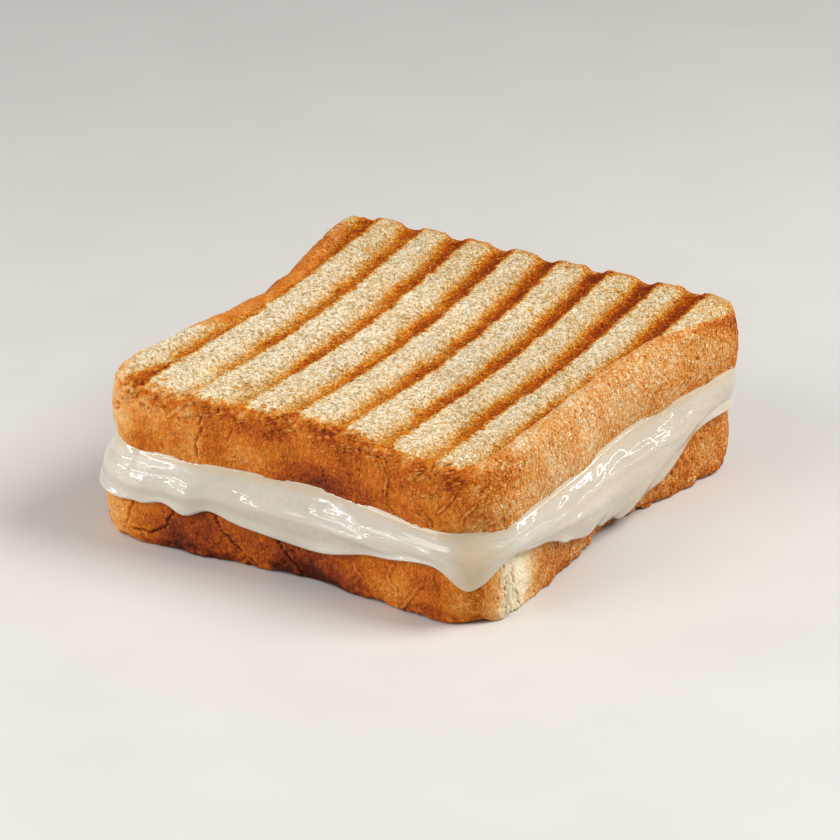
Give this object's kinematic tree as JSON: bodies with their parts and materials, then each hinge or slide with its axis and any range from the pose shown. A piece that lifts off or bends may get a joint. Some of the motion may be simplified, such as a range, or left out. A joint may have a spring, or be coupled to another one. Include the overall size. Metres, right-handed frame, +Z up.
{
  "type": "grilled cheese sandwich",
  "caption": "Square grilled sandwich of thick toasted bread with pressed grill grooves and melted white cheese running out between the slices.",
  "frame": {"origin": "on the surface the sandwich lies on, under the middle of its bounding box", "axes": "+Z up out of the grilled face, +X along the front edge, +Y towards the loaf's crown at the back; the grill grooves run along Y"},
  "size_m": [0.12, 0.1226, 0.0444],
  "materials": {
    "toasted_bread": "dry toasted crumb and crust, browned along the grill grooves",
    "cheese": "smooth, glossy and slightly translucent melted cheese"
  },
  "bodies": {
    "root": {"bottom_slice": "toasted_bread", "melted_cheese": "cheese", "top_slice": "toasted_bread"}
  },
  "joints": []
}
